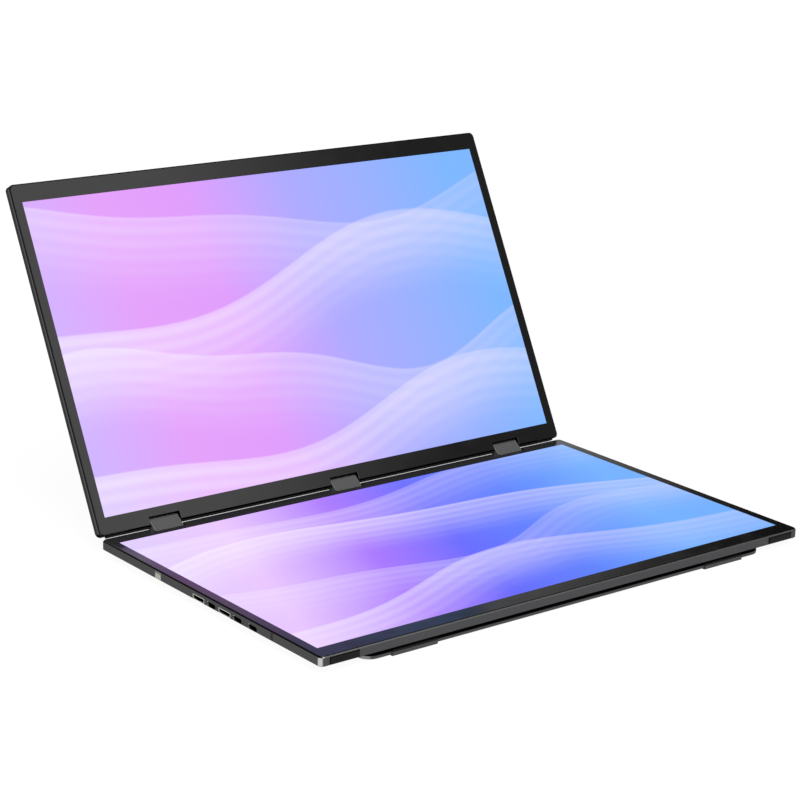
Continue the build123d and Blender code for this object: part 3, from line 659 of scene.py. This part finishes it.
# the left wall gets a painted tone of its own for the light that falls on it
lit_left_wall = facing((-1, 0, 0), *wall_turn)
left_rim = facing((-slant, 0, slant), *edge_turn)
left_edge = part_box("lower_frame")[0][0]
inner_rim = both(left_rim, beyond((1, 0, 0), left_edge + inner_from, left_edge + inner_full))
corner_rim = facing(corner_rim_way, *corner_rim_turn)
lower_marks = [
    # a lit tone painted on the left wall
    (lit_left_wall, "#535354"),
    # painted shade on the lower edge
    (lower_edge, "#1c1c1d"),
    # a painted highlight on the slanted left rim
    (left_rim, "#6a6a6b"),
    # painted shade on the inner half of that rim
    (inner_rim, painted_shade_black),
    # a painted highlight on the front rim
    (front_rim_highlight, "#7c7c7c"),
    # painted shade on the rim of the left corner
    (corner_rim, painted_shade_black),
    # a painted highlight on the front corners
    (corner_highlight, "#cacac6"),
    # painted shade in the gaps round the bumpers
    (shade_round_bumper("front_bumper_left"), painted_shade_black),
    (shade_round_bumper("front_bumper_right"), painted_shade_black),
    # black painted shade on the hinge side
    *hinge_shade("lower"),
]
lower_metal = blasted_metal("anodised aluminium, blasted, lower frame", marks=lower_marks, **frame_skin)
wear(lower_metal, "lower_frame")
print("marks on the lower frame:", len(lower_marks))

# %% [markdown]
# The upper frame has the same skin, and its marks are painted light and shade too: a
# lit tone on the left wall, painted shade on the back part of that wall, so that it is
# darker than the front, a slanted edge beside the glass painted nearly black, and
# painted shade on the faces that turn to the back and on the walls at both ends of
# the run. Its directions are the panel's own: along its run, out of its glass, and to
# the left.

# %% Upper frame
upper_out = np.array([0.0, -sin(lean), cos(lean)])
upper_side = np.array([-1.0, 0.0, 0.0])
upper_level = float(axes["upper_hinge"] @ upper_out)
back_from, back_full = 1.8 * mm, 1.4 * mm
side_turn = (0.5, 0.8)
end_turn = (0.2, 0.6)
upper_back = beyond(-upper_out, -upper_level - back_from, -upper_level - back_full)
upper_marks = [
    # a lit tone painted on the left wall
    (lit_left_wall, "#5e5e60"),
    # painted shade on the back of the left wall
    (both(facing(upper_side, *side_turn), upper_back), "#414142"),
    # painted shade on the slanted edge beside the glass
    (facing(slant * (upper_side + upper_out), *edge_turn), "#1a1a1b"),
    # painted shade on the faces that turn to the back
    (facing(-upper_out, *under_turn), "#161617"),
    # painted shade on the walls at both ends of the run
    (facing(panel_runs["upper"], *end_turn), painted_shade_black),
    (facing(-panel_runs["upper"], *end_turn), painted_shade_black),
    # black painted shade on the hinge side
    *hinge_shade("upper"),
]
upper_metal = blasted_metal("anodised aluminium, blasted, upper frame", marks=upper_marks, **frame_skin)
wear(upper_metal, "upper_frame")
print("marks on the upper frame:", len(upper_marks))

# %% [markdown]
# The covers are pressed from thinner sheet and blasted coarser, and the stand is a
# sheet of its own, whose corners get a painted highlight. The upper cover shows only
# its rim from in front, and that rim gets painted shade, about as dark as the frame's
# back edge beside it. All are the same blasted metal with other values.

# %% Covers and stand
rim_turn = (0.5, 0.85)


def upper_rim_shade(tree, place):
    """Mask of the painted shade on the walls round the upper panel: small where the surface faces straight
    out or back.
    """
    size = add(tree, "ShaderNodeMath", {0: turned_to(tree, upper_out)}, operation="ABSOLUTE")
    return add(tree, "ShaderNodeMapRange", between(size, rim_turn, 1.0, 0.0), **smoothly)


cover_skin = {"colour": "#48484a", "grit": 0.35 * mm, "roughness": 0.46, "depth": 0.02 * mm}
cover_metal = blasted_metal("anodised aluminium, blasted cover", **cover_skin)
upper_cover_metal = blasted_metal(
    "anodised aluminium, blasted upper cover",
    # painted shade on the rim
    marks=[(upper_rim_shade, "#141415")],
    slanting=frame_skin["slanting"],
    **cover_skin,
)
stand_metal = blasted_metal(
    "anodised aluminium, stand sheet",
    "#4e4e50",
    grit=0.3 * mm,
    roughness=0.42,
    depth=0.015 * mm,
    # a painted highlight on the stand's front corners
    marks=[(corner_highlight, "#8c8c8c")],
)
wear(cover_metal, "lower_back_cover")
wear(upper_cover_metal, "upper_back_cover")
wear(stand_metal, "stand_plate")
print("covers and stand done")

# %% [markdown]
# The smaller finishes share one way: a pattern between 0 and 1 that moves colour,
# roughness and height together, because on a real surface the same pits, ridges or
# grains do all three. Each finish below brings its own pattern at its own size. A
# pattern is described by a kind of node, its sockets, its options and the output to
# use, and the finish adds that node to its tree.

# %% Patterned finishes
pattern_strength = 0.4
# at a scale of 1 the wave texture turns by 20 radians in a metre
wave_unit = 2 * pi / 20


def grains(size):
    """Random grains of a size in metres."""
    return "ShaderNodeTexNoise", {"Scale": per_metre(size), "Detail": 2.0}, {}, "Fac"


def ridges(spacing, direction, uneven=0.0):
    """Parallel ridges: a sine across a direction, with a spacing in metres."""
    sockets = {"Scale": wave_unit / spacing, "Distortion": uneven, "Detail": 1.0}
    return "ShaderNodeTexWave", sockets, {"bands_direction": direction}, "Color"


def crystals(size):
    """Flat grains that meet at straight edges, each of its own tone, with a size in metres."""
    return "ShaderNodeTexVoronoi", {"Scale": per_metre(size)}, {}, "Color"


def patterned(name, colours, pattern, roughness, depth, metallic=0.0, gloss=0.5, marks=()):
    """A surface from one colour and roughness to another along its pattern, raised by a depth in metres."""
    material, tree, place = start(name)
    kind, sockets, options, output = pattern
    amount = add(tree, kind, {"Vector": place, **sockets}, **options).outputs[output]
    low, high = (linear(colour) for colour in colours)
    colour = add(tree, "ShaderNodeMix", {"Factor": amount, "A": low, "B": high}, data_type="RGBA")
    colour = marked(tree, place, colour, marks)
    spread = add(tree, "ShaderNodeMapRange", between(amount, whole, *roughness))
    bump = add(tree, "ShaderNodeBump", {"Height": amount, "Strength": pattern_strength, "Distance": depth})
    skin = {"Base Color": colour, "Metallic": metallic, "Roughness": spread, "Normal": bump}
    finish_surface(tree, {**skin, "Specular IOR Level": gloss})
    return material


print("patterns ready")

# %% [markdown]
# Hinge links: zinc castings under matt grey paint. The paint has a fine orange
# peel and no shine to speak of, so the links stay lighter than the metal round
# them. The peel of about 0.4 mm is drawn at its real size. The slanted edges of
# both ends get a painted highlight: those edges face half sideways. One flat
# grey would look like card, so a noise of the peel's size breaks the sheen.

# %% Hinge links
sides = ("left", "middle", "right")
half_turned = (0.12, 0.2)


def slanted_end_highlight(tree, place):
    """Mask of the painted highlight on edges that face half sideways: the sideways facing squared, times one
    less that square.
    """
    normal = add(tree, "ShaderNodeTexCoord").outputs["Normal"]
    sideways = add(tree, "ShaderNodeSeparateXYZ", {"Vector": normal}).outputs["X"]
    square = add(tree, "ShaderNodeMath", {0: sideways, 1: 2.0}, operation="POWER")
    rest = add(tree, "ShaderNodeMath", {0: 1.0, 1: square}, operation="SUBTRACT")
    product = add(tree, "ShaderNodeMath", {0: square, 1: rest}, operation="MULTIPLY")
    return add(tree, "ShaderNodeMapRange", between(product, half_turned), **smoothly)


link_paint = patterned(
    "matt grey paint on cast zinc",
    ("#434343", "#494949"),
    grains(0.4 * mm),
    roughness=(0.55, 0.65),
    depth=0.01 * mm,
    # a painted highlight on the slanted ends
    marks=[(slanted_end_highlight, "#606060")],
)
wear(link_paint, *[f"hinge_link_{side}" for side in sides])
print("links painted:", len(sides))

# %% [markdown]
# Shafts, nuts, brackets and screws. The shafts and nuts are turned steel: a lathe
# leaves rings across the axis, here along x, about 0.1 mm apart and drawn at
# 0.3 mm. The brackets are pressed from sheet, and zinc plating gives them a pale
# bluish grain of flat crystals. Rings cut into the mesh would cost thousands of
# faces, so a wave pattern bends the light instead.

# %% Steel pieces
turned_steel = patterned(
    "turned steel",
    ("#8a8a8c", "#b2b2b4"),
    ridges(0.3 * mm, "X", 0.5),
    roughness=(0.25, 0.38),
    depth=0.01 * mm,
    metallic=1.0,
)
plated_sheet = patterned(
    "zinc plated sheet steel",
    ("#8f9194", "#b0b3b8"),
    crystals(1.2 * mm),
    roughness=(0.28, 0.42),
    depth=0.005 * mm,
    metallic=1.0,
)
for panel in panel_runs:
    wear(turned_steel, f"{panel}_screws", *[f"{panel}_shaft_{side}" for side in sides])
    wear(plated_sheet, f"{panel}_display", *[f"{panel}_bracket_{side}" for side in sides])
wear(turned_steel, "shaft_nuts", "stand_pin_left", "stand_pin_right")
wear(plated_sheet, "stand_bracket_left", "stand_bracket_right")
print("steel done")

# %% [markdown]
# Rubber. The bumpers in the front wall and the rear feet are black silicone,
# moulded against a spark-eroded tool, so they are dull with a fine sandy grain.
# Their faces that look forward get a faint painted highlight. The stand's pads are a
# grey compound with the same grain, with painted shade along their lip and at their
# left end. Grain this fine needs no geometry: one noise moves colour, sheen and bump.

# %% Rubber
moulded_rubber = {"pattern": grains(0.35 * mm), "depth": 0.02 * mm, "gloss": 0.25}
pad_lip_from, pad_lip_full = 2.1 * mm, 2.3 * mm
pad_end_turn = (0.6, 0.9)
bumper_face_highlight = facing((0, -1, 0), *edge_turn)
pad_lip_shade = beyond((0, 0, 1), pad_lip_from, pad_lip_full)
pad_end_shade = facing((-1, 0, 0), *pad_end_turn)
black_rubber = patterned(
    "black silicone, moulded",
    ("#050505", "#0a0a0b"),
    roughness=(0.75, 0.9),
    # a faint painted highlight on the faces that look forward
    marks=[(bumper_face_highlight, "#0e0e0f")],
    **moulded_rubber,
)
grey_rubber = patterned(
    "grey rubber, moulded",
    ("#3e3e3f", "#4a4a4b"),
    roughness=(0.7, 0.85),
    # painted shade on the lip and on the left end
    marks=[(pad_lip_shade, "#080808"), (pad_end_shade, "#0a0a0b")],
    **moulded_rubber,
)
wear(black_rubber, "front_bumper_left", "front_bumper_right", "rear_foot_left", "rear_foot_right")
wear(grey_rubber, "stand_pad_left", "stand_pad_right")
print("rubber done")

# %% [markdown]
# Sockets. The shells are drawn from thin steel and nickel plated: bright, with
# faint lines along the draw, which runs into the wall along x, so the ridges cross
# z. Further in they get painted shade. The small sockets get painted shade on all
# of the shell but its rear end, which keeps the bright plating. The tongues are
# black glass-filled nylon. Bands of shade could be separate pieces, but masks
# along the shell leave the measured shape alone.

# %% Sockets
lip_depth, lip_blur = 0.7 * mm, 0.35 * mm
rear_width, rear_blur = 1.3 * mm, 0.39 * mm
drawn_steel = {
    "colours": ("#e4e2dc", "#f6f5f0"),
    "pattern": ridges(0.25 * mm, "Z", 0.4),
    "roughness": (0.35, 0.45),
    "depth": 0.002 * mm,
    "metallic": 1.0,
}


def drawn_shell(name, only_rear):
    """A plated shell with painted shade further in than its lip, and, if so asked, painted shade on all but
    its rear end.
    """
    low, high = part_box(name)
    inside = low[0] + lip_depth
    # painted shade further in than the lip
    marks = [(beyond((1, 0, 0), inside, inside + lip_blur), "#161616")]
    if only_rear:
        front = rear_width - high[1]
        # painted shade on all but the rear end
        marks.append((beyond((0, -1, 0), front, front + rear_blur), "#2c2c2c"))
    kind = "black nickel" if only_rear else "nickel"
    wear(patterned(f"{kind} plated drawn steel, {name}", marks=marks, **drawn_steel), name)


for number in (1, 2):
    drawn_shell(f"mini_hdmi_socket_{number}", False)
for number in (1, 2, 3):
    drawn_shell(f"usb_c_socket_{number}", True)
nylon = patterned(
    "black glass-filled nylon",
    ("#111112", "#1b1b1c"),
    grains(0.3 * mm),
    roughness=(0.45, 0.6),
    depth=0.01 * mm,
)
wear(nylon, "socket_tongues", "speaker_left", "speaker_right")
print("sockets done")

# %% [markdown]
# Moulded trim. The pale inlay and the dark one in the left wall are flush with the
# metal, with an even satin grain: the pale one is a painted highlight that fades
# darker towards the top, and the dark one is painted shade. The buttons on the right
# wall are ABS with a coarser texture that gives a finger hold. The indicator is a
# smoked acrylic light pipe, black while its lamp is off. Moulds are etched at random,
# so each of these is a noise, and only its size and depth differ.

# %% Moulded trim
trim_grain = grains(0.4 * mm)
shaded_from, shaded_full = 6.8 * mm, 9.4 * mm
# the painted highlight fades darker towards the top
highlight_fade = beyond((0, 0, 1), shaded_from, shaded_full)
dull = 0.15
# a pale strip that stands in for a highlight on the left wall
highlight_strip = patterned(
    "pale polycarbonate, moulded",
    ("#9c9d92", "#a8a99e"),
    trim_grain,
    roughness=(0.4, 0.5),
    depth=0.005 * mm,
    marks=[(highlight_fade, "#5a5a54")],
)
# a dark strip that stands in for shade on the left wall
shade_strip = patterned(
    "dark polycarbonate, moulded",
    ("#1c1c1c", "#242424"),
    trim_grain,
    roughness=(0.5, 0.6),
    depth=0.005 * mm,
    gloss=dull,
)
button_abs = patterned(
    "textured ABS, moulded",
    ("#3a3a3c", "#48484a"),
    grains(0.5 * mm),
    roughness=(0.45, 0.6),
    depth=0.02 * mm,
)
smoked_pipe = patterned(
    "smoked acrylic light pipe",
    ("#040405", "#08080a"),
    trim_grain,
    roughness=(0.2, 0.3),
    depth=0.002 * mm,
    gloss=dull,
)
wear(highlight_strip, "side_inlay_light")
wear(shade_strip, "side_inlay_dark")
wear(button_abs, "power_button", "plus_button", "minus_button")
wear(smoked_pipe, "indicator_pipe")
print("trim done")

# %% [markdown]
# Electronics inside. Solder mask lies over copper tracks, which show as paler
# green ridges about 0.5 mm apart, drawn at 1 mm. The chips are black epoxy with a
# sandy grain, and the flat cables are amber polyimide film over copper lines. The
# tracks could be laid one by one, but hardly any is ever seen, so a wave pattern
# with much distortion stands for them.

# %% Electronics
solder_mask = patterned(
    "green solder mask over tracks",
    ("#163f28", "#2a6a45"),
    ridges(1 * mm, "DIAGONAL", 6.0),
    roughness=(0.3, 0.45),
    depth=0.02 * mm,
)
epoxy = patterned(
    "moulded epoxy chip",
    ("#18181a", "#222224"),
    grains(0.3 * mm),
    roughness=(0.5, 0.65),
    depth=0.01 * mm,
)
polyimide = patterned(
    "amber polyimide over copper",
    ("#8c5716", "#c08a3a"),
    ridges(0.5 * mm, "X"),
    roughness=(0.25, 0.4),
    depth=0.01 * mm,
)
wear(solder_mask, "main_board", "driver_board", "button_board")
wear(epoxy, "main_board_chips", "driver_board_chips", "button_switches")
wear(polyimide, "lower_flat_cable", "upper_flat_cable")
print("electronics done")

# %% [markdown]
# The fine pieces come last. Each is one closed profile carried along straight or
# wavy paths, worked out as whole arrays: every path point gets the profile's points
# round it, the rings are joined by quads, and both ends are capped by one face. All
# the pieces of one kind become one mesh, which rides on the body that carries it.


# %% Profiles carried along paths
def carried(paths, profile, side, up):
    """Points are path + across * side + rise * up for each profile point.

    Quads join each ring of points to the next, and one face caps each end.
    """
    paths = np.asarray(paths, float)
    count, stations = paths.shape[:2]
    points_round = len(profile)
    offsets = profile[:, :1] * np.asarray(side, float) + profile[:, 1:] * np.asarray(up, float)
    points = (paths[:, :, None, :] + offsets).reshape(-1, 3)
    ring = np.arange(count * stations).reshape(count, stations, 1) * points_round
    here = np.arange(points_round)
    after = (here + 1) % points_round
    near, far = ring[:, :-1], ring[:, 1:]
    quads = np.stack([near + here, near + after, far + after, far + here], axis=-1).reshape(-1, 4)
    caps = np.concatenate([ring[:, 0] + here[::-1], ring[:, -1] + here])
    return points, quads, caps


def rounded(width, height, radius, steps=3):
    """Profile of a rectangle with round corners: quarter circles about the four inner corners."""
    turn = np.linspace(0, pi / 2, steps)
    quarters = np.arange(4)[:, None] * pi / 2
    centre = np.array([(1, 1), (-1, 1), (-1, -1), (1, -1)]) * (width / 2 - radius, height / 2 - radius)
    arc = radius * np.stack([np.cos(quarters + turn), np.sin(quarters + turn)], axis=-1)
    return (centre[:, None, :] + arc).reshape(-1, 2)


print("points round a rounded profile:", len(rounded(2 * mm, 1 * mm, 0.2 * mm)))

# %% [markdown]
# A mesh takes one list of points and one of faces, so the faces of each shape move
# up by the points before it. The normals are then turned outwards, since a path may
# run either way, and the piece is told its body.


# %% One mesh from several shapes
def new_piece(name, shapes, material, body, smooth=False):
    """One mesh from several carried shapes, faces turned outwards, riding on a body."""
    firsts = np.cumsum([0] + [len(points) for points, _, _ in shapes])
    faces = []
    for (_, quads, caps), first in zip(shapes, firsts):
        faces += (quads + first).tolist() + (caps + first).tolist()
    mesh = bpy.data.meshes.new(name)
    mesh.from_pydata(np.concatenate([points for points, _, _ in shapes]).tolist(), [], faces)
    build = bmesh.new()
    build.from_mesh(mesh)
    bmesh.ops.recalc_face_normals(build, faces=build.faces)
    build.to_mesh(mesh)
    build.free()
    mesh.polygons.foreach_set("use_smooth", np.full(len(mesh.polygons), smooth))
    mesh.materials.append(material)
    piece = bpy.data.objects.new(name, mesh)
    scene.collection.objects.link(piece)
    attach(piece, body)
    print(name, "faces:", len(mesh.polygons))


print("new pieces can be made")

# %% [markdown]
# The hinge edge of the upper screen carries a black rubber strip between the
# notches, which narrows the gap to the lower screen, and a small lip in each notch
# that keeps dust out behind the link. Both are extrusions, so a rounded rectangle
# is carried along x. They lie in the panel's own directions, run and out, from the
# hinge axis, and stay clear of the links, which turn inside a circle of 3 mm.

# %% Hinge edge seal
run = panel_runs["upper"]
out = upper_out
upper_axis = axes["upper_hinge"] * (0, 1, 1)
edge_overhang = 2.2 * mm
strip_thickness = 1.1 * mm
strip_back, strip_front = -1.0 * mm, 3.3 * mm
strip_radius = 0.45 * mm
notch_gap = 0.75 * mm
end_inset = 5.5 * mm
lip_inner, lip_outer = 2.85 * mm, 3.25 * mm
lip_back, lip_front = -1.6 * mm, -1.0 * mm
lip_radius = 0.1 * mm

links = [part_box(f"hinge_link_{side}") for side in sides]
notches = np.array([(low[0] - notch_gap, high[0] + notch_gap) for low, high in links])
frame_low, frame_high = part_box("upper_frame")
breaks = np.concatenate([[frame_low[0] + end_inset], notches.ravel(), [frame_high[0] - end_inset]])


def along_x(spans, centre):
    """Straight two-point paths over spans of x, through a centre in the yz plane."""
    paths = np.zeros((len(spans), 2, 3))
    paths[:, :, 0] = spans
    return paths + centre


strip_middle = -(edge_overhang + strip_thickness / 2) * run + (strip_back + strip_front) / 2 * out
strip_profile = rounded(strip_thickness, strip_front - strip_back, strip_radius)
strip = carried(along_x(breaks.reshape(-1, 2), upper_axis + strip_middle), strip_profile, run, out)
lip_middle = (lip_inner + lip_outer) / 2 * run + (lip_back + lip_front) / 2 * out
lip_profile = rounded(lip_outer - lip_inner, lip_front - lip_back, lip_radius)
lips = carried(along_x(notches, upper_axis + lip_middle), lip_profile, run, out)
seal_rubber = patterned(
    "black rubber, extruded",
    ("#040404", "#080808"),
    ridges(0.5 * mm, "X", 2.0),
    roughness=(0.7, 0.85),
    depth=0.005 * mm,
    gloss=0.2,
)
new_piece("hinge_edge_seal", [strip, lips], seal_rubber, "lid")

# %% [markdown]
# Gold contacts lie in rows on both faces of each socket tongue: flat leads, stamped
# from strip and plated. A small rounded profile carried along x makes each lead.
# Painted stripes would look flat in the mouth of a socket.

# %% Socket contacts
lead_start, lead_length = 1.1 * mm, 2.8 * mm
lead_height = 0.06 * mm
lead_radius = 0.02 * mm
lead_rows = {
    # sockets of a kind, leads in a row, their pitch and their width
    "mini_hdmi_socket_": (2, 10, 0.65 * mm, 0.32 * mm),
    "usb_c_socket_": (3, 12, 0.5 * mm, 0.26 * mm),
}
tongue_low, tongue_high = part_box("socket_tongues")
lead_shapes = []
for kind, (sockets, leads, pitch, width) in lead_rows.items():
    lead_profile = rounded(width, lead_height, lead_radius, 2)
    for number in range(1, sockets + 1):
        low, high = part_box(f"{kind}{number}")
        places = (low[1] + high[1]) / 2 + (np.arange(leads) - (leads - 1) / 2) * pitch
        for level in (tongue_low[2], tongue_high[2]):
            paths = np.zeros((leads, 2, 3))
            paths[:, :, 0] = tongue_low[0] + lead_start + np.array([0.0, lead_length])
            paths[:, :, 1] = places[:, None]
            paths[:, :, 2] = level
            lead_shapes.append(carried(paths, lead_profile, (0, 1, 0), (0, 0, 1)))
gold = patterned(
    "gold plated strip",
    ("#a67f30", "#c8a452"),
    ridges(0.3 * mm, "X", 0.5),
    roughness=(0.2, 0.3),
    depth=0.002 * mm,
    metallic=1.0,
)
new_piece("socket_contacts", lead_shapes, gold, "base")

# %% [markdown]
# Behind each speaker slot lies a woven dust mesh of black nylon. Its threads pass
# over and under each other, so each is a thin tube along a sine, and neighbours
# start half a wave apart. The real weave is about 0.2 mm wide, drawn at 0.4 mm. A
# see-through texture would be lighter, but only threads with a thickness hold up
# close by and in an exported mesh.

# %% Speaker mesh
slot_length, slot_width = 10.0 * mm, 1.2 * mm
slot_pitch, slot_count = 3.6 * mm, 7
weave = 0.4 * mm
thread = 0.07 * mm
thread_sides = 4
mesh_level = 0.9 * mm
turns = np.arange(thread_sides) * 2 * pi / thread_sides
thread_profile = thread * np.stack([np.cos(turns), np.sin(turns)], axis=-1)
floor_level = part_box("lower_back_cover")[0][2]


def woven(centre, length, width, lengthwise):
    """Threads over a rectangle: height is a sine along the thread, turned over on every second one."""
    across = np.arange(-width / 2 + weave / 2, width / 2, weave)
    along = np.arange(-length / 2, length / 2 + weave / 4, weave / 2)
    turned = np.where(np.arange(len(across)) % 2, 1.0, -1.0)
    wave = thread * turned[:, None] * np.sin(pi * along / weave)
    paths = np.zeros((len(across), len(along), 3))
    paths[:, :, 0 if lengthwise else 1] = along
    paths[:, :, 1 if lengthwise else 0] = across[:, None]
    paths[:, :, 2] = wave if lengthwise else -wave
    side = (0, 1, 0) if lengthwise else (1, 0, 0)
    return carried(paths + centre, thread_profile, side, (0, 0, 1))


mesh_shapes = []
for name in ("speaker_left", "speaker_right"):
    low, high = (np.array(corner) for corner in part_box(name))
    for step in np.arange(slot_count) - (slot_count - 1) / 2:
        centre = (low + high) / 2 + (0, step * slot_pitch, 0)
        centre[2] = floor_level + mesh_level
        mesh_shapes.append(woven(centre, slot_length, slot_width, True))
        mesh_shapes.append(woven(centre, slot_width, slot_length, False))
new_piece("speaker_mesh", mesh_shapes, nylon, "base", smooth=True)

# %% [markdown]
# Last comes a look back: every piece of the frame should wear one finish, so the
# pieces that don't are listed.

# %% Pieces without one finish
bare = [name for name, node in nodes.items() if len(node.data.materials) != 1]
print("nodes without one finish:", bare)
